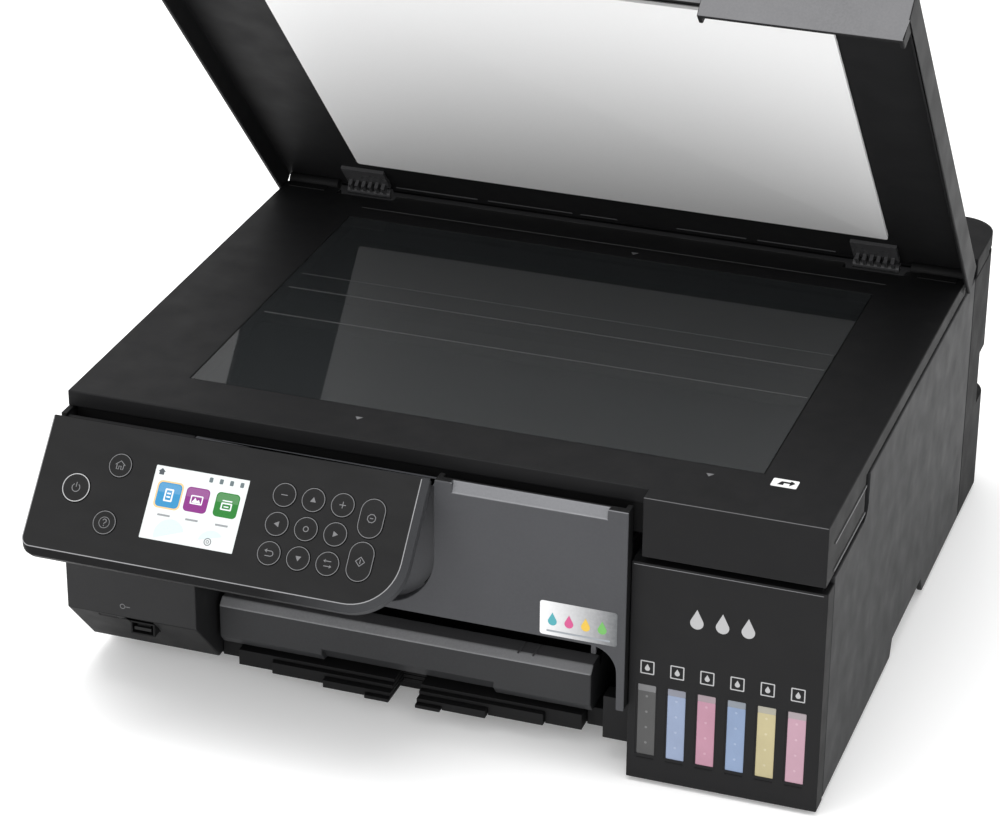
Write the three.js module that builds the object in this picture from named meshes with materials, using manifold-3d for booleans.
// A six-tank inkjet all-in-one: printer, flatbed scanner and lid, with a tilting control panel.
// Millimetres, +X to the right seen from the front, +Y to the back, +Z up.
// Inside this file y = 0 is the front of the ink tanks and z = 0 the floor; the last lines
// move the whole group so that its origin is the middle of its footprint.
import * as THREE from "three";
import { mergeVertices } from "three/addons/utils/BufferGeometryUtils.js";
import Module from "manifold-3d";

const wasm = await Module();
wasm.setup();

// ---------- driving dimensions ----------
const bodyWidth = 403; // over the side panels
const skin = 3; // wall of the outer shells
const gap = 0.35; // between pieces that touch
const play = 0.8; // between pieces that move past each other

const frontY = -6; // front face of the casing
const undercutZ = 43; // where the front face turns under
const undercutY = 22; // where the undercut ends
const undercutFloorZ = 12; // its height there
const caseTopZ = 153.6; // top edge of the side panels
const sideFrontY = 40; // front edge of the left side panel
const sideRearY = 322; // rear edge of both side panels
const panFloorZ = 3; // underside of the lower case
const footRadius = 8;

const tankFrontHeight = 126; // top of the tank front
const tankLeftX = 103; // left edge of the tank front
const tankDepth = 80;
const tankBottomZ = 2;
const tankReturn = 12; // depth of the black return on the right side
const inkCount = 6;
const inkPitch = 15.35;
const firstInkX = 112.65; // centre of the leftmost window
const windowWidth = 10.6;
const windowBottomZ = 16.5;
const windowTopZ = 57.3;

const coverBottomZ = 78; // ceiling of the paper slot
const coverRightX = 102.6; // right edge of the centre cover
const archX = 98.4; // inner edge of the cover's leg
const archRadius = 14;
const gripLeftX = 12; // finger scoop on the cover's top edge
const gripRightX = 92;

const paperCentreX = -21.5; // middle of the paper path
const cassetteCentreX = -24;
const cassetteWidth = 204;
const cassetteClearance = 2.3; // to the casing at its left end
const cassetteFrontY = 18;
const cassetteBottomZ = 22;
const cassetteFaceZ = 45.4; // top of the cassette's front face
const cassetteTopZ = 49; // top of its bevel
const blockRightX = cassetteCentreX - cassetteWidth / 2 - cassetteClearance; // of the left front block
const cassetteDepth = 310;
const cassetteWall = 2.5;
const traySizes = [
  { half: 94.6, front: 19.3, length: 270 },
  { half: 74.7, front: 16.5, length: 256 },
  { half: 44.7, front: 12.8, length: 243 },
  { half: 20.7, front: 10.2, length: 229 },
];
const trayTopZ = 20; // top of the widest tray stage
const trayBottomZ = 11;
const trayRoof = 2;
const notchHalf = 7.3; // finger notch in the tray's lip
const notchDepth = 18;

const scanTopZ = caseTopZ + 9.9; // top of the scanner bed
const scanFrontY = 6.3; // front of the bed, left part
const scanRightFrontY = -3.2; // front of the bed over the tanks
const scanRightX = 108.8; // where that part starts
const scanRightBottomZ = caseTopZ - 22.6;
const scanRightDepth = 72;
const scanRearY = 298;
const frameInset = 0.7; // of the bed's sides, from the outside of the side panels
const scanHalf = bodyWidth / 2 - frameInset;
const tubSideGap = 0.9;
const tubHalf = bodyWidth / 2 - skin - tubSideGap; // half width of the tub
const tubBottomZ = caseTopZ - 16.6;
const tubTopZ = caseTopZ + 4.3;
const glassLeftX = -148;
const glassRightX = 157;
const glassFrontY = 40.6;
const glassRearY = 261.6;
const glassThickness = 2.8;
const scanBarWidth = 18;
const scanRodY = 155;
const scanRodRadius = 3;
const scanRidges = [190, 203]; // ribs on the tub's floor, beside the rod

const lidOpen = 48.1; // degrees, as it stands
const lidOverhang = 2.5; // past the side panels
const lidHalf = bodyWidth / 2 + lidOverhang;
const lidWall = 2.2;
const lidHingeY = 301;
const lidHingeZ = caseTopZ + 10.4;
const lidRimZ = caseTopZ + 1; // rim of the closed lid
const lidTopZ = caseTopZ + 18;
const lidInnerZ = caseTopZ + 13.4;
const lidFrontY = 3.5; // front of the closed lid, left part
const lidRearY = 303;
const skirtLeftX = coverRightX + play; // the deeper front over the tanks
const skirtRightX = scanHalf + play;
const skirtFrontY = -6.6;
const skirtBottomZ = caseTopZ - 10.6;
const matProud = 2.6;
const matMargin = { left: 1, right: 3, front: 12, rear: 6 };
const hingeX = 150; // of both lid hinges, left and right
const hingeBarrel = 5;

const panelWidth = 202.3;
const panelHeight = 72.8;
const panelThickness = 9;
const panelTilt = 41.6; // degrees from vertical, as it stands
const panelTopY = -8.9;
const panelTopZ = caseTopZ + 4;
const panelCorner = 28; // lower right corner
const panelSmallCorner = 7; // lower left corner
const pocketTopZ = caseTopZ - 1.6;
const keyRadius = 6.3;
const powerKeyRadius = 7.6;
const pillWidth = 13.4;
const pillHeight = 20.6;
const keyGap = 0.35;
const displayBox = { left: 61.5, right: 112.7, top: 16.6, bottom: 55.2 };

const rearY = 383; // upper rear face
const rearFootY = 386; // lower rear face
const rearRecessY = 371; // hand recess between them
const rearCorner = 20;
const feedCoverFrontY = 326;

const railY = 236;
const railHalf = 184;
const carriageX = 145; // middle of the parked carriage
const carriageWidth = 70;
const pulleyX = 172;
const pulleyRadius = 7;
const beltZ = 106;
const rollerHalf = 106;

// ---------- materials ----------
function finish(color, roughness, metalness = 0) {
  return new THREE.MeshStandardMaterial({ color, roughness, metalness });
}
const blackPlastic = finish(0x2b2b2c, 0.55);
const greyPlastic = finish(0x4c4d50, 0.5);
const barPlastic = finish(0x3d3e40, 0.5);
const darkPlastic = finish(0x161617, 0.65);
const panelGloss = finish(0x1d1d1e, 0.3);
const keyPlastic = finish(0x202021, 0.35);
const whitePad = finish(0xd9d9d9, 0.7);
const glassLike = finish(0x2a2c2e, 0.08);
const screenLike = finish(0xdfe6ea, 0.2);
const steel = finish(0xa7a9ac, 0.35, 0.9);
const greyInner = finish(0x6e7073, 0.6);
const rubber = finish(0x1b1b1b, 0.9);
const tankResin = finish(0xc9ced3, 0.25);
const boardGreen = finish(0x1f5a3a, 0.5);
const strip = finish(0xbfc4c8, 0.2);

// ---------- solids ----------
function solid(geometry) {
  const g = geometry.clone();
  g.deleteAttribute("normal");
  g.deleteAttribute("uv");
  const merged = mergeVertices(g, 1e-4);
  const vertProperties = new Float32Array(merged.attributes.position.array);
  const triVerts = new Uint32Array(merged.index.array);
  return new wasm.Manifold(new wasm.Mesh({ numProp: 3, vertProperties, triVerts }));
}

function block(x0, x1, y0, y1, z0, z1) {
  const g = new THREE.BoxGeometry(x1 - x0, y1 - y0, z1 - z0);
  g.translate((x0 + x1) / 2, (y0 + y1) / 2, (z0 + z1) / 2);
  return solid(g);
}

function shapeOf(points) {
  return new THREE.Shape(points.map(([a, b]) => new THREE.Vector2(a, b)));
}

function extruded(shape, depth, curveSegments = 8) {
  return new THREE.ExtrudeGeometry(shape, { depth, bevelEnabled: false, curveSegments, steps: 1 });
}

// An outline in (y, z) carried along X.
function alongX(shape, x0, x1) {
  const g = extruded(shape, x1 - x0);
  const axes = new THREE.Matrix4().makeBasis(
    new THREE.Vector3(0, 1, 0),
    new THREE.Vector3(0, 0, 1),
    new THREE.Vector3(1, 0, 0),
  );
  g.applyMatrix4(axes);
  g.translate(x0, 0, 0);
  return solid(g);
}

// An outline in (x, z) carried along Y.
function alongY(shape, y0, y1) {
  const g = extruded(shape, y1 - y0);
  g.rotateX(Math.PI / 2);
  g.translate(0, y1, 0);
  return solid(g);
}

// An outline in (x, y) carried along Z.
function alongZ(shape, z0, z1) {
  const g = extruded(shape, z1 - z0);
  g.translate(0, 0, z0);
  return solid(g);
}

function rodX(radius, x0, x1, y, z, sides = 20) {
  const g = new THREE.CylinderGeometry(radius, radius, x1 - x0, sides);
  g.rotateZ(Math.PI / 2);
  g.translate((x0 + x1) / 2, y, z);
  return solid(g);
}

function rodY(radius, x, y0, y1, z, sides = 20) {
  const g = new THREE.CylinderGeometry(radius, radius, y1 - y0, sides);
  g.translate(x, (y0 + y1) / 2, z);
  return solid(g);
}

function rodZ(radius, x, y, z0, z1, sides = 20) {
  const g = new THREE.CylinderGeometry(radius, radius, z1 - z0, sides);
  g.rotateX(Math.PI / 2);
  g.translate(x, y, (z0 + z1) / 2);
  return solid(g);
}

function joined(first, ...rest) {
  return rest.reduce((sum, piece) => sum.add(piece), first);
}

function cut(body, ...tools) {
  return tools.reduce((left, tool) => left.subtract(tool), body);
}

function geometryOf(body) {
  const made = body.getMesh();
  const positions = new Float32Array(made.numVert * 3);
  for (let i = 0; i < made.numVert; i += 1) {
    const start = i * made.numProp;
    positions.set(made.vertProperties.subarray(start, start + 3), i * 3);
  }
  const g = new THREE.BufferGeometry();
  g.setAttribute("position", new THREE.BufferAttribute(positions, 3));
  g.setIndex(new THREE.BufferAttribute(new Uint32Array(made.triVerts), 1));
  g.computeVertexNormals();
  return g;
}

function part(parent, name, body, material) {
  const mesh = new THREE.Mesh(geometryOf(body), material);
  mesh.name = name;
  parent.add(mesh);
  return mesh;
}

const halfBody = bodyWidth / 2;
const innerHalf = halfBody - skin;
const base = new THREE.Group();

// ---------- the panel's outline, seen from its front ----------
// Local x runs right from the panel's left end, local y up from its top edge.
function panelOutline(grow) {
  const right = panelWidth + grow;
  const bottom = -panelHeight - grow;
  const big = panelCorner + grow;
  const small = panelSmallCorner + grow;
  const outline = new THREE.Shape();
  outline.moveTo(-grow, grow);
  outline.lineTo(-grow, bottom + small);
  outline.absarc(-grow + small, bottom + small, small, Math.PI, 1.5 * Math.PI, false);
  outline.lineTo(right - big, bottom);
  outline.absarc(right - big, bottom + big, big, 1.5 * Math.PI, 2 * Math.PI, false);
  outline.lineTo(right, grow);
  return outline;
}

// The pocket that takes the panel when it is pushed flat against the casing.
function panelPocket() {
  const pocket = extruded(panelOutline(1.5), 10);
  pocket.rotateX(Math.PI / 2);
  pocket.translate(-halfBody, frontY + 6, panelTopZ - 2);
  return solid(pocket);
}
const pocketFloorY = frontY + 6;

// ---------- lower case ----------
function lowerCase() {
  const depthEnd = sideRearY + 40;
  const left = -innerHalf + gap;
  const right = innerHalf - gap;
  let pan = block(left, right, sideFrontY, depthEnd, panFloorZ, panFloorZ + skin);
  const wallTop = 30;
  pan = joined(
    pan,
    block(left, left + skin, sideFrontY, depthEnd, panFloorZ, wallTop),
    block(right - skin, right, tankDepth + gap, depthEnd, panFloorZ, wallTop),
    block(left, right, depthEnd - skin, depthEnd, panFloorZ, wallTop),
  );
  const slotLeft = paperCentreX - traySizes[0].half - play;
  const slotRight = paperCentreX + traySizes[0].half + play;
  const sillTop = cassetteBottomZ - gap;
  const sillY = undercutY + 4;
  const leftSill = block(blockRightX + gap, slotLeft, sillY, sideFrontY + skin, trayBottomZ, sillTop);
  const rightSill = block(slotRight, archX, undercutY + 4, sideFrontY + skin, trayBottomZ, sillTop);
  const leftRail = block(slotLeft - skin, slotLeft, sideFrontY, depthEnd - skin, panFloorZ, sillTop);
  const rightRail = block(slotRight, slotRight + skin, sideFrontY, depthEnd - skin, panFloorZ, sillTop);
  const restTop = trayBottomZ - gap;
  const trayRest = block(slotLeft - 1, slotRight + 1, sideFrontY, sideFrontY + 6, panFloorZ, restTop);
  pan = joined(pan, leftSill, rightSill, leftRail, rightRail, trayRest);
  // Room for the tank housing at the front right.
  pan = cut(pan, block(tankLeftX - gap, halfBody, sideFrontY - 1, tankDepth + gap, panFloorZ - 1, 31));
  // The stubs of the two rows of feet.
  const feet = [
    [left + 18, sideFrontY + 20],
    [tankLeftX + 14, tankDepth + 20],
    [left + 18, depthEnd - 25],
    [right - 18, depthEnd - 25],
  ];
  for (const [x, y] of feet) {
    pan = pan.add(rodZ(footRadius, x, y, 0, panFloorZ + 1));
  }
  return pan;
}

// ---------- side panels ----------
function rightSidePanel() {
  const outline = new THREE.Shape();
  outline.moveTo(tankReturn + gap, panFloorZ);
  outline.lineTo(156, panFloorZ);
  outline.lineTo(160, 13);
  outline.lineTo(226, 13);
  outline.lineTo(232, panFloorZ);
  outline.lineTo(sideRearY, panFloorZ);
  outline.lineTo(sideRearY, caseTopZ);
  outline.lineTo(scanRightDepth + 6, caseTopZ);
  outline.lineTo(scanRightDepth + 6, tankFrontHeight + 13);
  const turn = 9;
  outline.absarc(scanRightDepth + 6 - turn, tankFrontHeight + 12.6, turn, 0, -Math.PI / 2, true);
  outline.lineTo(tankReturn + gap, tankFrontHeight + 3.6);
  return alongX(outline, innerHalf, halfBody);
}

function leftSidePanel() {
  const outline = shapeOf([
    [sideFrontY + gap, panFloorZ],
    [sideRearY, panFloorZ],
    [sideRearY, caseTopZ],
    [sideFrontY + gap, caseTopZ],
  ]);
  return alongX(outline, -halfBody, -innerHalf);
}

// ---------- front ----------
// The casing's front profile below the slot: upright, then undercut.
function undercutProfile(inset) {
  return shapeOf([
    [frontY + inset, coverBottomZ + 2],
    [frontY + inset, undercutZ + inset * 0.4],
    [undercutY + inset * 0.4, undercutFloorZ + inset],
    [sideFrontY, undercutFloorZ + inset],
    [sideFrontY, coverBottomZ + 2],
  ]);
}

const usbSlot = { left: -168, right: -153.5, top: 42, bottom: 31 };
const cardRecess = { left: -184.5, right: -174, top: 41.5, bottom: 31 };

function slopeY(z) {
  return frontY + ((undercutZ - z) / (undercutZ - undercutFloorZ)) * (undercutY - frontY);
}

function leftFrontBlock() {
  const outer = alongX(undercutProfile(0), -halfBody, blockRightX);
  const hollow = alongX(undercutProfile(skin), -halfBody + skin, blockRightX - skin);
  const backOpening = block(-halfBody + skin, blockRightX - skin, 20, sideFrontY + 1, 24, coverBottomZ + 3);
  let front = cut(outer, hollow, backOpening);
  const upper = joined(
    block(-halfBody, blockRightX, frontY, pocketFloorY + skin, coverBottomZ - 1, pocketTopZ),
    block(-halfBody, -halfBody + skin, frontY, sideFrontY, coverBottomZ, pocketTopZ),
  );
  front = front.add(cut(upper, panelPocket()));
  const usbY = slopeY(usbSlot.bottom);
  const usbHole = block(usbSlot.left, usbSlot.right, frontY - 1, usbY + 8, usbSlot.bottom, usbSlot.top);
  const { left, right, bottom, top } = cardRecess;
  const recess = block(left, right, frontY - 1, slopeY(top) + 2, bottom, top);
  return cut(front, usbHole, recess);
}

function usbSocket() {
  const y0 = slopeY(usbSlot.top) + 3;
  const inset = 0.5;
  const shellWall = 0.8;
  const x0 = usbSlot.left + inset;
  const x1 = usbSlot.right - inset;
  const z0 = usbSlot.bottom + inset;
  const z1 = usbSlot.top - 3;
  const shell = block(x0, x1, y0, y0 + 14, z0, z1);
  const hole = block(x0 + shellWall, x1 - shellWall, y0 - 1, y0 + 12, z0 + shellWall, z1 - shellWall);
  const tongue = block(x0 + 3, x1 - 3, y0 + 2, y0 + 13, (z0 + z1) / 2, (z0 + z1) / 2 + 1.6);
  return cut(shell, hole).add(tongue);
}

function centreCover() {
  const left = blockRightX + gap;
  const top = caseTopZ + 1.4;
  const plate = block(left, coverRightX, frontY, pocketFloorY + skin, coverBottomZ, top);
  const hollowLeft = panelWidth - halfBody + 5;
  const rear = pocketFloorY + skin + 1;
  const gripWall = 5.2;
  const hollowRight = coverRightX - skin;
  const hollowTop = top - 2 * skin;
  const hollow = block(hollowLeft, hollowRight, frontY + skin, rear, coverBottomZ + skin, hollowTop);
  const behindGrip = block(hollowLeft, hollowRight, frontY + gripWall, rear, hollowTop, top + 1);
  const aboveFloor = block(left - 1, hollowLeft - 3, frontY - 1, rear, pocketTopZ, top + 1);
  let cover = cut(plate, hollow, behindGrip, panelPocket(), aboveFloor);
  const ceilingRight = archX - archRadius;
  const ceiling = block(left, ceilingRight, frontY, sideFrontY - 10, coverBottomZ, coverBottomZ + skin);
  cover = cover.add(ceiling);
  // The leg beside the tanks, with an arch to the slot.
  const leg = new THREE.Shape();
  leg.moveTo(coverRightX, coverBottomZ + skin);
  leg.lineTo(archX - archRadius - 2, coverBottomZ + skin);
  leg.lineTo(archX - archRadius - 2, coverBottomZ);
  leg.lineTo(archX - archRadius, coverBottomZ);
  leg.absarc(archX - archRadius, coverBottomZ - archRadius, archRadius, Math.PI / 2, 0, true);
  leg.lineTo(archX, undercutZ);
  leg.lineTo(coverRightX, undercutZ);
  cover = cover.add(alongY(leg, frontY, frontY + 14));
  const scoop = shapeOf([
    [frontY - 1, top - 5.6],
    [frontY + 0.6, top - 5.2],
    [frontY + 3.4, top + 1],
    [frontY - 1, top + 1],
  ]);
  return cut(cover, alongX(scoop, gripLeftX, gripRightX));
}

// ---------- tanks ----------
function windowX(i) {
  return firstInkX + i * inkPitch;
}

function tankFront() {
  const z0 = tankBottomZ;
  const z1 = tankFrontHeight;
  const right = halfBody;
  let front = joined(
    block(tankLeftX, right, 0, skin, z0, z1),
    block(tankLeftX, tankLeftX + skin, 0, tankDepth, z0, z1),
    block(right - skin, right, 0, tankReturn, z0, z1),
    block(tankLeftX, right - skin - gap, 0, tankDepth, z0, z0 + skin),
    block(tankLeftX, right - skin - gap, 0, 18, z1 - skin, z1),
  );
  for (let i = 0; i < inkCount; i += 1) {
    const x = windowX(i);
    const half = windowWidth / 2;
    front = front.subtract(block(x - half, x + half, -1, skin + 1, windowBottomZ, windowTopZ));
  }
  return front.add(rodZ(footRadius, right - 20, 30, 0, z0 + 1));
}

const tankTopZ = 112;
const capRadius = 4.6;
const capY = 44;
const portRadius = 3.2;
const stubLength = 4; // of a cap, down into its port

function inkTankUnit() {
  const wall = 1.6;
  const left = tankLeftX + skin + gap;
  const right = innerHalf - gap - 0.2;
  const front = skin + gap;
  const bottom = tankBottomZ + skin + gap;
  let unit = block(left, right, front, tankDepth - 4, bottom, tankTopZ);
  for (let i = 0; i < inkCount; i += 1) {
    const x = windowX(i);
    const half = inkPitch / 2 - wall / 2;
    const x0 = Math.max(x - half, left + wall);
    const x1 = Math.min(x + half, right - wall);
    const chamber = block(x0, x1, front + wall, tankDepth - 4 - wall, bottom + wall, tankTopZ - wall);
    const port = rodZ(portRadius, x, capY, tankTopZ - stubLength - 1, tankTopZ + 1, 16);
    unit = cut(unit, chamber, port);
  }
  return unit;
}

function tankCaps() {
  const seat = tankTopZ + gap;
  const tetherLeft = windowX(0) - capRadius + 1;
  const tetherRight = windowX(inkCount - 1) + capRadius - 1;
  let caps = block(tetherLeft, tetherRight, capY + 8, capY + 14, seat, seat + 2);
  for (let i = 0; i < inkCount; i += 1) {
    const x = windowX(i);
    caps = joined(
      caps,
      rodZ(portRadius - gap, x, capY, tankTopZ - stubLength, seat + 1, 16),
      rodZ(capRadius, x, capY, seat, seat + 7, 18),
      block(x - 2, x + 2, capY + 2, capY + 10, seat, seat + 2),
    );
  }
  return caps;
}

// ---------- rear ----------
function rearOutline(y1, inset) {
  const half = halfBody - inset;
  const corner = rearCorner - inset;
  const back = y1 - inset;
  const outline = new THREE.Shape();
  outline.moveTo(-half, sideRearY + gap - inset * 2);
  outline.lineTo(half, sideRearY + gap - inset * 2);
  outline.lineTo(half, back - corner);
  outline.absarc(half - corner, back - corner, corner, 0, Math.PI / 2, false);
  outline.lineTo(-half + corner, back);
  outline.absarc(-half + corner, back - corner, corner, Math.PI / 2, Math.PI, false);
  return outline;
}

const recessBottomZ = 62;
const recessTopZ = 94;
const deckZ = 152.6;

function rearCase() {
  const outer = joined(
    alongZ(rearOutline(rearFootY, 0), panFloorZ, recessBottomZ),
    alongZ(rearOutline(rearRecessY, 0), recessBottomZ - 1, recessTopZ + 1),
    alongZ(rearOutline(rearY, 0), recessTopZ, deckZ),
  );
  const inner = joined(
    alongZ(rearOutline(rearFootY, skin), panFloorZ - 1, recessBottomZ - skin),
    alongZ(rearOutline(rearRecessY, skin), recessBottomZ - skin - 1, recessTopZ + skin),
    alongZ(rearOutline(rearY, skin), recessTopZ + skin - 1, deckZ - skin),
  );
  const slotHalf = 112;
  const slotY = sideRearY + 18;
  const slotDepth = 20;
  const paperSlot = block(
    paperCentreX - slotHalf,
    paperCentreX + slotHalf,
    slotY,
    slotY + slotDepth,
    deckZ - 5,
    deckZ + 1,
  );
  const inletHole = block(inlet.left, inlet.right, rearFootY - 8, rearFootY + 1, inlet.bottom, inlet.top);
  const lanHole = block(-120, -104, rearFootY - 8, rearFootY + 1, 26, 40);
  const deck = block(-innerHalf + 2, innerHalf - 2, 310, sideRearY + gap + 2, deckZ - skin, deckZ);
  return cut(joined(cut(outer, inner), deck), paperSlot, inletHole, lanHole);
}

const inlet = { left: -176, right: -148, bottom: 22, top: 42, depth: 22, wall: 4, pinInset: 10 };

function mainsInlet() {
  const { left, right, bottom, top, depth, wall, pinInset } = inlet;
  const y1 = rearFootY - 0.5;
  const y0 = y1 - depth;
  const pinRadius = 1.2;
  const pinZ = (bottom + top) / 2;
  const housing = block(left + gap, right - gap, y0, y1, bottom + gap, top - gap);
  const well = block(left + wall, right - wall, y1 - depth + 8, y1 + 1, bottom + wall, top - wall);
  const pins = joined(
    rodY(pinRadius, left + pinInset, y0 + 4, y1 - 3, pinZ, 12),
    rodY(pinRadius, right - pinInset, y0 + 4, y1 - 3, pinZ, 12),
  );
  return cut(housing, well).add(pins);
}

const feedHingeY = rearY - 1;
const feedHingeZ = deckZ + 2.6;

function feedCover() {
  const z0 = deckZ + gap;
  const z1 = scanTopZ;
  const wall = 2.2;
  const half = halfBody;
  const outline = (inset) => {
    const shape = new THREE.Shape();
    const corner = rearCorner - inset;
    const back = rearY - inset;
    shape.moveTo(-half + inset, feedCoverFrontY + inset);
    shape.lineTo(half - inset, feedCoverFrontY + inset);
    shape.lineTo(half - inset, back - corner);
    shape.absarc(half - inset - corner, back - corner, corner, 0, Math.PI / 2, false);
    shape.lineTo(-half + inset + corner, back);
    shape.absarc(-half + inset + corner, back - corner, corner, Math.PI / 2, Math.PI, false);
    return shape;
  };
  const shell = cut(alongZ(outline(0), z0, z1), alongZ(outline(wall), z0 - 1, z1 - wall));
  // The rear skirt stops above the hinge axis, so that it clears the case as it swings.
  return cut(shell, block(-half - 1, half + 1, feedHingeY - 24, rearY + 1, z0 - 1, feedHingeZ + 0.6));
}

// ---------- cassette, guides and output tray ----------
const cassetteLeft = cassetteCentreX - cassetteWidth / 2;
const cassetteRight = cassetteCentreX + cassetteWidth / 2;

function cassette() {
  const barDepth = 15;
  const bar = shapeOf([
    [cassetteFrontY, cassetteFaceZ],
    [cassetteFrontY, cassetteBottomZ + 5],
    [cassetteFrontY + 4, cassetteBottomZ],
    [cassetteFrontY + barDepth, cassetteBottomZ],
    [cassetteFrontY + barDepth, cassetteTopZ],
    [cassetteFrontY + 4, cassetteTopZ],
  ]);
  const rear = cassetteFrontY + cassetteDepth;
  const inner = cassetteFrontY + barDepth;
  const wallTop = cassetteFaceZ - 2;
  const floorTop = cassetteBottomZ + cassetteWall;
  const drawer = joined(
    alongX(bar, cassetteLeft, cassetteRight),
    block(cassetteLeft, cassetteRight, inner - 1, rear, cassetteBottomZ, floorTop),
    block(cassetteLeft, cassetteLeft + cassetteWall, inner - 1, rear, cassetteBottomZ, wallTop),
    block(cassetteRight - cassetteWall, cassetteRight, inner - 1, rear, cassetteBottomZ, wallTop),
    block(cassetteLeft, cassetteRight, rear - cassetteWall, rear, cassetteBottomZ, wallTop - 14),
  );
  const gripHalf = 47;
  const grip = shapeOf([
    [cassetteFrontY - 1, cassetteBottomZ - 1],
    [cassetteFrontY - 1, cassetteBottomZ + 8],
    [cassetteFrontY + 2, cassetteBottomZ + 8],
    [cassetteFrontY + 8, cassetteBottomZ - 1],
  ]);
  return drawer.subtract(alongX(grip, paperCentreX - gripHalf, paperCentreX + gripHalf));
}

const guideFloorZ = cassetteBottomZ + cassetteWall + gap;
const guideReach = 76; // from the paper's middle to each guide, as set for the widest sheet

function edgeGuide(side) {
  const x = paperCentreX + side * guideReach;
  const upright = block(x - 1, x + 1, 130, 230, guideFloorZ, guideFloorZ + 17);
  const [footLeft, footRight] = side < 0 ? [x - 12, x] : [x, x + 12];
  const foot = block(footLeft, footRight, 150, 210, guideFloorZ, guideFloorZ + 2);
  return upright.add(foot);
}

function trayStage(i) {
  const { half, front, length } = traySizes[i];
  const pocketStep = trayRoof + gap;
  const top = trayTopZ - i * pocketStep;
  let stage = block(paperCentreX - half, paperCentreX + half, front, front + length, trayBottomZ, top);
  const next = traySizes[i + 1];
  if (next) {
    const reach = next.half + gap;
    const pocket = block(
      paperCentreX - reach,
      paperCentreX + reach,
      front - 1,
      next.front + next.length + 4,
      trayBottomZ - 1,
      top - trayRoof,
    );
    stage = stage.subtract(pocket);
  }
  const notchEnd = traySizes[3].front + notchDepth + 5;
  const notchLeft = paperCentreX - notchHalf;
  const notchRight = paperCentreX + notchHalf;
  const notch = block(notchLeft, notchRight, front - 1, notchEnd, trayBottomZ - 1, top + 1);
  return stage.subtract(notch);
}

// ---------- print mechanism ----------
const railBottomZ = 88;
const railTopZ = 126;
const endPlateFrontY = 148;
const endPlateBottomZ = 54;

function chassis() {
  const sheet = 2;
  const x0 = -railHalf;
  const x1 = railHalf;
  const endPlate = (x) =>
    block(x - sheet, x, endPlateFrontY, railY + 26, endPlateBottomZ, railTopZ);
  return joined(
    block(x0, x1, railY, railY + sheet, railBottomZ, railTopZ),
    block(x0, x1, railY - 14, railY + sheet, railTopZ - sheet, railTopZ),
    block(x0, x1, railY - 9, railY + sheet, railBottomZ, railBottomZ + sheet),
    endPlate(x0 + 0.5),
    endPlate(x1 + sheet - 0.5),
  );
}

const carriageBottomZ = 76;
const carriageTopZ = 121;
const carriageReach = 68; // from the rail to the carriage's front
const carriagePlay = 16; // from the rail to the carriage's back
const carriageWall = 3;
const carriageFloor = 8;

function carriage() {
  const half = carriageWidth / 2;
  const left = carriageX - half;
  const right = carriageX + half;
  const front = railY - carriageReach;
  const back = railY - carriagePlay;
  const body = block(left, right, front, back, carriageBottomZ, carriageTopZ);
  const hollow = block(
    left + carriageWall,
    right - carriageWall,
    front + carriageWall,
    back - carriageWall,
    carriageBottomZ + carriageFloor,
    carriageTopZ + 1,
  );
  const heel = block(left, right, back - 1, railY - 10, carriageBottomZ + 2, carriageBottomZ + 10);
  let result = cut(body, hollow).add(heel);
  const dampers = inkCount;
  for (let i = 1; i < dampers; i += 1) {
    const x = left + (i * carriageWidth) / dampers;
    const wallFront = front + carriageWall - 1;
    const wallBack = back - carriageWall + 1;
    const wallBottom = carriageBottomZ + carriageFloor - 1;
    result = result.add(block(x - 0.6, x + 0.6, wallFront, wallBack, wallBottom, carriageTopZ - 9));
  }
  return result;
}

function printHead() {
  const half = carriageWidth / 2 - 9;
  const left = carriageX - half;
  const right = carriageX + half;
  const front = railY - carriageReach + 10;
  const back = railY - carriagePlay - 10;
  const top = carriageBottomZ - gap;
  const shoulderZ = carriageBottomZ - 6;
  const nozzleZ = shoulderZ - 4;
  return joined(
    block(left, right, front, back, shoulderZ, top),
    block(left + 5, right - 5, front + 4, back - 4, nozzleZ, shoulderZ + 1),
  );
}

function encoderStrip() {
  const bottom = railTopZ - 14;
  const height = 7;
  return block(-railHalf + 4, railHalf - 4, railY - 15.2, railY - 14.6, bottom, bottom + height);
}

function beltOutline(radius) {
  const outline = new THREE.Shape();
  outline.moveTo(-pulleyX, beltZ + radius);
  outline.absarc(-pulleyX, beltZ, radius, Math.PI / 2, 1.5 * Math.PI, false);
  outline.lineTo(pulleyX, beltZ - radius);
  outline.absarc(pulleyX, beltZ, radius, -Math.PI / 2, Math.PI / 2, false);
  return outline;
}

function belt() {
  const inner = pulleyRadius + gap;
  return cut(
    alongY(beltOutline(inner + 1.2), railY - 9, railY - 4),
    alongY(beltOutline(inner), railY - 10, railY - 3),
  );
}

function pulley(x) {
  return joined(
    rodY(pulleyRadius, x, railY - 9.5, railY - 3.5, beltZ, 20),
    rodY(2.5, x, railY - 11, railY - 1, beltZ, 12),
  );
}

function carriageMotor() {
  return rodY(15, pulleyX - 4, railY + 2 + gap, railY + 36, beltZ, 24);
}

function toothed(radius, teeth) {
  const outline = new THREE.Shape();
  const depth = 1.4;
  for (let i = 0; i < teeth * 4; i += 1) {
    const angle = (i / (teeth * 4)) * 2 * Math.PI;
    const r = i % 4 < 2 ? radius : radius - depth;
    const x = r * Math.cos(angle);
    const y = r * Math.sin(angle);
    if (i === 0) outline.moveTo(x, y);
    else outline.lineTo(x, y);
  }
  return outline;
}

function gearX(radius, teeth, x0, x1, y, z) {
  const g = extruded(toothed(radius, teeth), x1 - x0);
  g.rotateY(Math.PI / 2);
  g.translate(x0, y, z);
  return solid(g);
}

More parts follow.
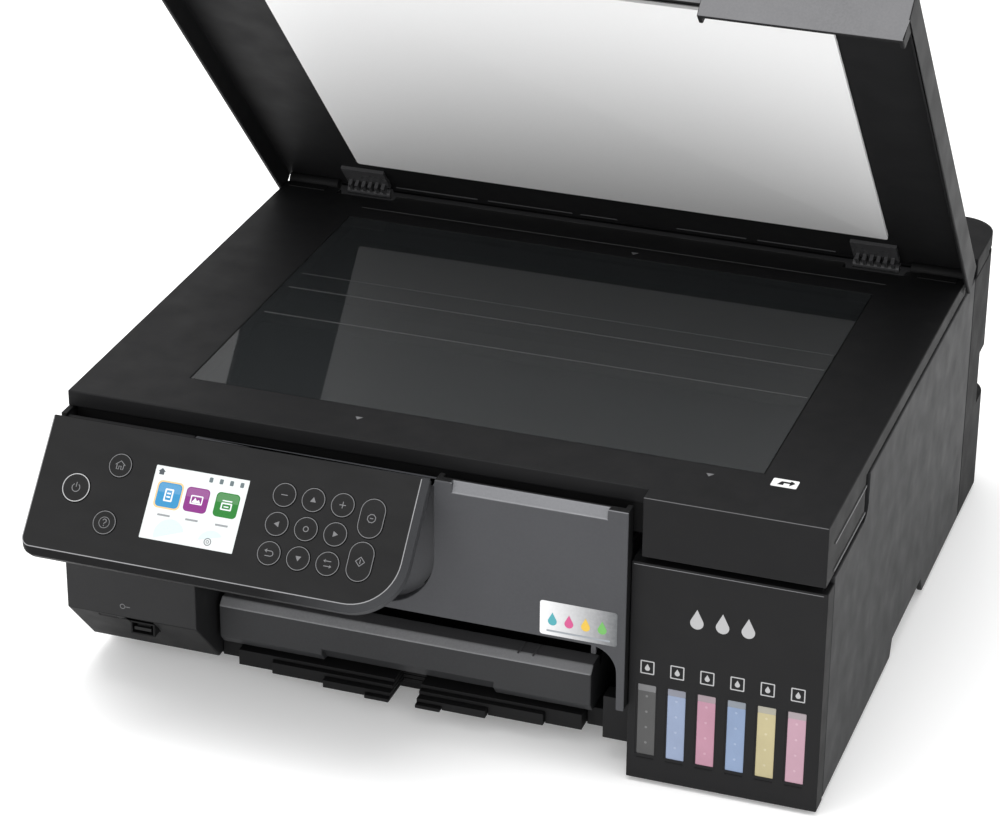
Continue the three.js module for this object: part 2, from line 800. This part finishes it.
function roller(radius, y, z, gearRadius, teeth) {
  const left = paperCentreX - rollerHalf;
  const right = paperCentreX + rollerHalf;
  let shaft = rodX(2.5, left - 22, right + 6, y, z, 14);
  for (let i = 0; i < 4; i += 1) {
    const x = left + 18 + (i * (2 * rollerHalf - 60)) / 3;
    shaft = shaft.add(rodX(radius, x, x + 24, y, z, 20));
  }
  return shaft.add(gearX(gearRadius, teeth, left - 20, left - 14, y, z));
}

const feedRollerY = 250;
const exitRollerY = 150;
const rollerZ = 68;

const feedMotorAt = { left: -182, y: 128, z: 100, radius: 15, length: 28, shaftRadius: 3 };

function feedMotor() {
  const { left, y, z, radius, length, shaftRadius } = feedMotorAt;
  const right = left + length;
  const body = rodX(radius, left, right, y, z, 24);
  return body.add(rodX(shaftRadius, right - 1, right + 8, y, z, 12));
}

const platenZ = 54;
const platenRibs = 12;

function platen() {
  const left = paperCentreX - rollerHalf;
  const right = paperCentreX + rollerHalf;
  const front = exitRollerY + 12;
  const back = feedRollerY - 14;
  let plate = block(left, right, front, back, platenZ, platenZ + 3);
  for (let i = 0; i <= platenRibs; i += 1) {
    const x = left + 6 + (i * (2 * rollerHalf - 12)) / platenRibs;
    plate = plate.add(block(x - 1, x + 1, front + 2, back - 2, platenZ + 2, platenZ + 7));
  }
  return plate;
}

const station = { bottom: 34, top: 60, front: 62, back: 22 }; // front and back are ahead of the rail

function cappingStation() {
  const { bottom, top } = station;
  const front = railY - station.front;
  const back = railY - station.back;
  const half = carriageWidth / 2 - 6;
  const cup = { half: half - 8, front: front + 6, back: back - 6, top: top + 3 };
  const body = block(carriageX - half, carriageX + half, front, back, bottom, top);
  const lip = block(
    carriageX - cup.half - 1,
    carriageX + cup.half + 1,
    cup.front - 1,
    cup.back + 1,
    top - 1,
    cup.top,
  );
  const bowl = block(
    carriageX - cup.half,
    carriageX + cup.half,
    cup.front,
    cup.back,
    top - 8,
    cup.top + 1,
  );
  return cut(body.add(lip), bowl);
}

const wasteBox = { left: 104, front: 252, bottom: 8, side: 86, height: 40, wall: 3 };

function maintenanceBox() {
  const { left, front, bottom, side, height, wall } = wasteBox;
  const right = left + side;
  const back = front + side;
  const top = bottom + height;
  const tub = block(left, right, front, back, bottom, top);
  const well = block(left + wall, right - wall, front + wall, back - wall, bottom + wall, top + 1);
  const ribX = left + 41;
  const rib = block(ribX, ribX + wall, front + 2, back - 2, bottom + 2, top - 4);
  return cut(tub, well).add(rib);
}

const boardAt = { left: -194, right: -192.4, front: 96, back: 232, bottom: 40, top: 132 };
const chipHeight = 3.4;

function mainBoard() {
  const { left, right, front, back, bottom, top } = boardAt;
  let board = block(left, right, front, back, bottom, top);
  const chips = [
    [120, 60, 24],
    [160, 92, 18],
    [196, 60, 28],
    [205, 104, 14],
  ];
  for (const [y, z, size] of chips) {
    const chip = block(right - 0.1, right + chipHeight, y, y + size, z, z + size * 0.7);
    board = board.add(chip);
  }
  return board;
}

const supply = { left: -190, right: -134, front: 272, back: 344, bottom: 60, top: 112 };
const ventCount = 6;

function powerSupply() {
  const { left, right, front, back, bottom, top } = supply;
  const box = block(left, right, front, back, bottom, top);
  const vents = [];
  for (let i = 0; i < ventCount; i += 1) {
    const x = left + 6 + i * 8;
    vents.push(block(x, x + 4, front + 6, back - 6, top - 2, top + 1));
  }
  return cut(box, ...vents);
}

// ---------- scanner ----------
const hingeNotch = 17;

function hingeNotches(z0, z1) {
  const front = lidHingeY - hingeBarrel - 5;
  return [-1, 1].map((side) =>
    block(side * hingeX - hingeNotch, side * hingeX + hingeNotch, front, scanRearY + 5, z0, z1),
  );
}

const frameSkirtZ = caseTopZ + 1.2; // lower edge of the bed's visible side

function scannerTub() {
  const floorTop = tubBottomZ + skin;
  const clear = skin + gap; // inside the frame's skirts
  const outer = block(-tubHalf, tubHalf, scanFrontY + clear, scanRearY - 1, tubBottomZ, tubTopZ);
  const nose = block(
    scanRightX + clear,
    tubHalf,
    scanRightFrontY + clear,
    scanRightDepth,
    scanRightBottomZ,
    tubTopZ,
  );
  const well = block(-tubHalf + 8, tubHalf - 10, scanFrontY + 14, scanRearY - 16, floorTop, tubTopZ + 1);
  const noseHollow = block(
    scanRightX + clear + skin,
    tubHalf - skin,
    scanRightFrontY + clear + skin,
    scanRightDepth - skin,
    scanRightBottomZ - 1,
    tubBottomZ,
  );
  let tub = cut(joined(outer, nose), well, noseHollow, ...hingeNotches(tubBottomZ + 4, tubTopZ + 1));
  for (const y of scanRidges) {
    tub = tub.add(block(-tubHalf + 7, tubHalf - 9, y - 1.2, y + 1.2, floorTop - 1, floorTop + 5));
  }
  return tub;
}

function scannerFrame() {
  const z0 = tubTopZ + gap;
  const plate = joined(
    block(-scanHalf, scanHalf, scanFrontY, scanRearY, frameSkirtZ, scanTopZ),
    block(scanRightX, scanHalf, scanRightFrontY, scanRightDepth, scanRightBottomZ, scanTopZ),
  );
  // Skirts hang in front of the tub and beside it.
  const tubRoom = joined(
    block(-tubHalf - gap, tubHalf + gap, scanFrontY + skin, scanRearY + 1, scanRightBottomZ - 1, z0),
    block(
      scanRightX + skin,
      tubHalf + gap,
      scanRightFrontY + skin,
      scanFrontY + skin + 1,
      scanRightBottomZ - 1,
      z0,
    ),
  );
  const rim = 4;
  const window = block(
    glassLeftX + rim,
    glassRightX - rim,
    glassFrontY + rim,
    glassRearY - rim,
    z0 - 1,
    scanTopZ + 1,
  );
  const ledgeZ = scanTopZ - glassThickness - gap;
  const ledge = block(glassLeftX, glassRightX, glassFrontY, glassRearY, ledgeZ, scanTopZ + 1);
  return cut(plate, tubRoom, window, ledge, ...hingeNotches(z0 - 1, scanTopZ + 1));
}

function scannerGlass() {
  const z1 = scanTopZ - 0.2;
  const z0 = scanTopZ - glassThickness;
  return block(glassLeftX + gap, glassRightX - gap, glassFrontY + gap, glassRearY - gap, z0, z1);
}

const scanBarX = glassLeftX - 30;
const scanBarZ = tubBottomZ + skin + scanRodRadius + 3.2;

function scanRod() {
  return rodX(scanRodRadius, -tubHalf + 8.4, tubHalf - 10.4, scanRodY, scanBarZ, 18);
}

function scanBar() {
  const x1 = scanBarX + scanBarWidth;
  const top = tubTopZ - 0.6;
  const bar = block(scanBarX, x1, glassFrontY - 4, glassRearY + 4, scanBarZ + scanRodRadius + 2, top);
  const lens = block(scanBarX + 7, scanBarX + 11, glassFrontY, glassRearY, top - 2, top + 1);
  const saddleHalf = 7;
  const saddleTop = scanBarZ + scanRodRadius + 3;
  const saddle = block(scanBarX, x1, scanRodY - saddleHalf, scanRodY + saddleHalf, scanBarZ - 4.5, saddleTop);
  const bore = rodX(scanRodRadius + 0.4, scanBarX - 1, x1 + 1, scanRodY, scanBarZ, 18);
  return cut(joined(bar, saddle), lens, bore);
}

// ---------- lid, drawn closed about its hinge ----------
const lid = new THREE.Group();
lid.position.set(0, lidHingeY, lidHingeZ);
lid.rotation.x = THREE.MathUtils.degToRad(-lidOpen);

function fromHinge(body) {
  return body.translate([0, -lidHingeY, -lidHingeZ]);
}

function lidOutline(inset) {
  const step = skirtLeftX + inset;
  const half = lidHalf - inset;
  return shapeOf([
    [-half, lidFrontY + inset],
    [step, lidFrontY + inset],
    [step, skirtFrontY + inset],
    [half, skirtFrontY + inset],
    [half, lidRearY - inset],
    [-half, lidRearY - inset],
  ]);
}

const gussetDepth = scanFrontY - play - skirtFrontY;

function lidShell() {
  const shell = cut(
    alongZ(lidOutline(0), lidRimZ, lidTopZ),
    alongZ(lidOutline(lidWall), lidRimZ - 1, lidInnerZ),
  );
  const skirtBack = skirtFrontY + lidWall;
  const skirt = block(skirtLeftX, skirtRightX, skirtFrontY, skirtBack, skirtBottomZ, lidRimZ + 1);
  const gusset = shapeOf([
    [skirtFrontY, skirtBottomZ],
    [skirtFrontY + 0.6 * gussetDepth, skirtBottomZ],
    [skirtFrontY + gussetDepth, lidRimZ + 1],
    [skirtFrontY, lidRimZ + 1],
  ]);
  const leftGusset = alongX(gusset, skirtLeftX, skirtLeftX + lidWall);
  const joinY = lidFrontY + lidWall;
  const joinLeft = block(skirtLeftX, skirtLeftX + lidWall, skirtFrontY, joinY, lidRimZ, lidInnerZ + 1);
  // The rear wall is cut low, so that it clears the bed as the lid turns.
  const wallX = lidHalf - lidWall;
  const rearRoom = block(-wallX, wallX, lidRearY - 6, lidRearY + 1, lidRimZ - 1, lidInnerZ);
  const rightGusset = alongX(gusset, skirtRightX - 0.3, skirtRightX + lidWall - 0.3);
  const tieX = skirtRightX - lidWall;
  const rightTie = block(tieX, lidHalf, skirtFrontY, skirtBack, lidRimZ, lidInnerZ);
  const solidLid = joined(shell, skirt, leftGusset, joinLeft, rightGusset, rightTie);
  return fromHinge(cut(solidLid, rearRoom));
}

function lidMat() {
  const x0 = glassLeftX - matMargin.left;
  const x1 = glassRightX + matMargin.right;
  const y0 = glassFrontY - matMargin.front;
  const y1 = glassRearY + matMargin.rear;
  return fromHinge(block(x0, x1, y0, y1, lidInnerZ - gap - matProud, lidInnerZ - gap));
}

function lidHinge(side) {
  const x = side * hingeX;
  const half = hingeNotch - 4;
  const top = lidInnerZ - gap;
  let hinge = rodX(hingeBarrel - 2, x - half, x + half, lidHingeY, lidHingeZ - 1, 16);
  const ribs = 6;
  for (let i = 0; i < ribs; i += 1) {
    const ribX = x - half + 2 + (i * (2 * half - 6)) / (ribs - 1);
    hinge = hinge.add(block(ribX, ribX + 2, lidHingeY - 9, lidHingeY + 1.2, lidHingeZ - 3, top));
  }
  const pad = block(x - half, x + half, lidHingeY - 22, lidHingeY - 4, top - 2, top);
  return fromHinge(hinge.add(pad));
}

// ---------- control panel, drawn flat about its top left corner ----------
const panel = new THREE.Group();
panel.position.set(-halfBody, panelTopY, panelTopZ);
panel.rotation.x = THREE.MathUtils.degToRad(90 - panelTilt);

const keys = [
  { name: "key_power", x: 22.5, y: 35.8, r: powerKeyRadius },
  { name: "key_home", x: 42.9, y: 20.8, r: keyRadius },
  { name: "key_help", x: 42.2, y: 50.8, r: keyRadius },
  { name: "key_minus", x: 131.9, y: 21.1, r: keyRadius },
  { name: "key_up", x: 147.3, y: 21.1, r: keyRadius },
  { name: "key_plus", x: 162.8, y: 21.1, r: keyRadius },
  { name: "key_left", x: 131.6, y: 36.1, r: keyRadius },
  { name: "key_select", x: 147.1, y: 36.1, r: keyRadius },
  { name: "key_right", x: 162.6, y: 36.1, r: keyRadius },
  { name: "key_back", x: 131.3, y: 51.2, r: keyRadius },
  { name: "key_down", x: 146.8, y: 51.2, r: keyRadius },
  { name: "key_duplex", x: 162.3, y: 51.2, r: keyRadius },
  { name: "key_stop", x: 179, y: 25.2, pill: true },
  { name: "key_start", x: 178.5, y: 47.3, pill: true },
];

// A key's outline, with its middle at the key's place on the panel.
function keyOutline({ x, y, r, pill }, grow) {
  const outline = new THREE.Shape();
  if (!pill) {
    outline.absarc(x, -y, r + grow, 0, 2 * Math.PI, false);
    return outline;
  }
  const radius = pillWidth / 2 + grow;
  const straight = pillHeight / 2 - pillWidth / 2;
  outline.moveTo(x + radius, -y - straight);
  outline.lineTo(x + radius, -y + straight);
  outline.absarc(x, -y + straight, radius, 0, Math.PI, false);
  outline.lineTo(x - radius, -y - straight);
  outline.absarc(x, -y - straight, radius, Math.PI, 2 * Math.PI, false);
  return outline;
}

function keyPrism(key, grow, n0, n1) {
  const g = extruded(keyOutline(key, grow), n1 - n0, key.pill ? 9 : 12);
  g.translate(0, 0, n0);
  return solid(g);
}

const faceThickness = 2.6;
const backThickness = 1.5;

function panelHousing() {
  const depth = extruded(panelOutline(0), panelThickness, 10);
  depth.translate(0, 0, -panelThickness);
  const wall = 2;
  const hollow = extruded(panelOutline(-wall), panelThickness - faceThickness - backThickness, 8);
  hollow.translate(0, 0, -panelThickness + backThickness);
  let housing = cut(solid(depth), solid(hollow));
  for (const key of keys) {
    housing = housing.subtract(keyPrism(key, keyGap, -faceThickness - 1, 1));
  }
  const { left, right, top, bottom } = displayBox;
  return housing.subtract(block(left, right, -bottom, -top, -faceThickness - 1, 1));
}

function keyBody(key) {
  const flangeTop = -faceThickness - 0.2;
  return keyPrism(key, 0, flangeTop - 0.5, 0.3).add(keyPrism(key, 0.6, flangeTop - 1.4, flangeTop));
}

function panelDisplay() {
  const { left, right, top, bottom } = displayBox;
  return joined(
    block(left + gap, right - gap, -bottom + gap, -top - gap, -faceThickness - 1, -0.3),
    block(left - 2, right + 2, -bottom - 2, -top + 2, -faceThickness - 3, -faceThickness - gap),
  );
}

// ---------- assembly ----------
part(base, "lower_case", lowerCase(), darkPlastic);
part(base, "left_side_panel", leftSidePanel(), blackPlastic);
part(base, "right_side_panel", rightSidePanel(), greyPlastic);
part(base, "left_front_block", leftFrontBlock(), blackPlastic);
part(base, "usb_socket", usbSocket(), steel);
part(base, "front_cover", centreCover(), greyPlastic);
part(base, "tank_front", tankFront(), blackPlastic);
part(base, "ink_tank_unit", inkTankUnit(), tankResin);
part(base, "tank_caps", tankCaps(), rubber);
part(base, "rear_case", rearCase(), blackPlastic);
part(base, "mains_inlet", mainsInlet(), darkPlastic);
part(base, "rear_feed_cover", feedCover(), blackPlastic);

part(base, "cassette", cassette(), barPlastic);
part(base, "edge_guide_left", edgeGuide(-1), greyInner);
part(base, "edge_guide_right", edgeGuide(1), greyInner);
traySizes.forEach((size, i) => part(base, `output_tray_${i + 1}`, trayStage(i), darkPlastic));

part(base, "chassis_rail", chassis(), steel);
part(base, "print_carriage", carriage(), darkPlastic);
part(base, "print_head", printHead(), greyInner);
part(base, "encoder_strip", encoderStrip(), strip);
part(base, "carriage_belt", belt(), rubber);
part(base, "motor_pulley", pulley(pulleyX), steel);
part(base, "idler_pulley", pulley(-pulleyX), steel);
part(base, "carriage_motor", carriageMotor(), steel);
part(base, "feed_roller", roller(8, feedRollerY, rollerZ, 18, 36), rubber);
part(base, "exit_roller", roller(6, exitRollerY, rollerZ, 15, 30), rubber);
part(base, "feed_motor", feedMotor(), steel);
part(base, "platen", platen(), darkPlastic);
part(base, "capping_station", cappingStation(), greyInner);
part(base, "maintenance_box", maintenanceBox(), greyInner);
part(base, "main_board", mainBoard(), boardGreen);
part(base, "power_supply", powerSupply(), darkPlastic);

part(base, "scanner_tub", scannerTub(), blackPlastic);
part(base, "scanner_frame", scannerFrame(), blackPlastic);
part(base, "scanner_glass", scannerGlass(), glassLike);
part(base, "scan_rod", scanRod(), steel);
part(base, "scan_bar", scanBar(), darkPlastic);

part(lid, "lid_shell", lidShell(), blackPlastic);
part(lid, "lid_mat", lidMat(), whitePad);
part(lid, "lid_hinge_left", lidHinge(-1), darkPlastic);
part(lid, "lid_hinge_right", lidHinge(1), darkPlastic);
base.add(lid);

part(panel, "panel_housing", panelHousing(), panelGloss);
part(panel, "panel_display", panelDisplay(), screenLike);
for (const key of keys) {
  part(panel, key.name, keyBody(key), keyPlastic);
}
base.add(panel);

// The footprint runs from the panel's lower edge to the rear foot.
const panelReach = panelHeight * Math.sin(THREE.MathUtils.degToRad(panelTilt));
const footprintFront = panelTopY - panelReach;
base.position.y = -(footprintFront + rearFootY) / 2;

const printer = new THREE.Group();
printer.add(base);
export default printer;
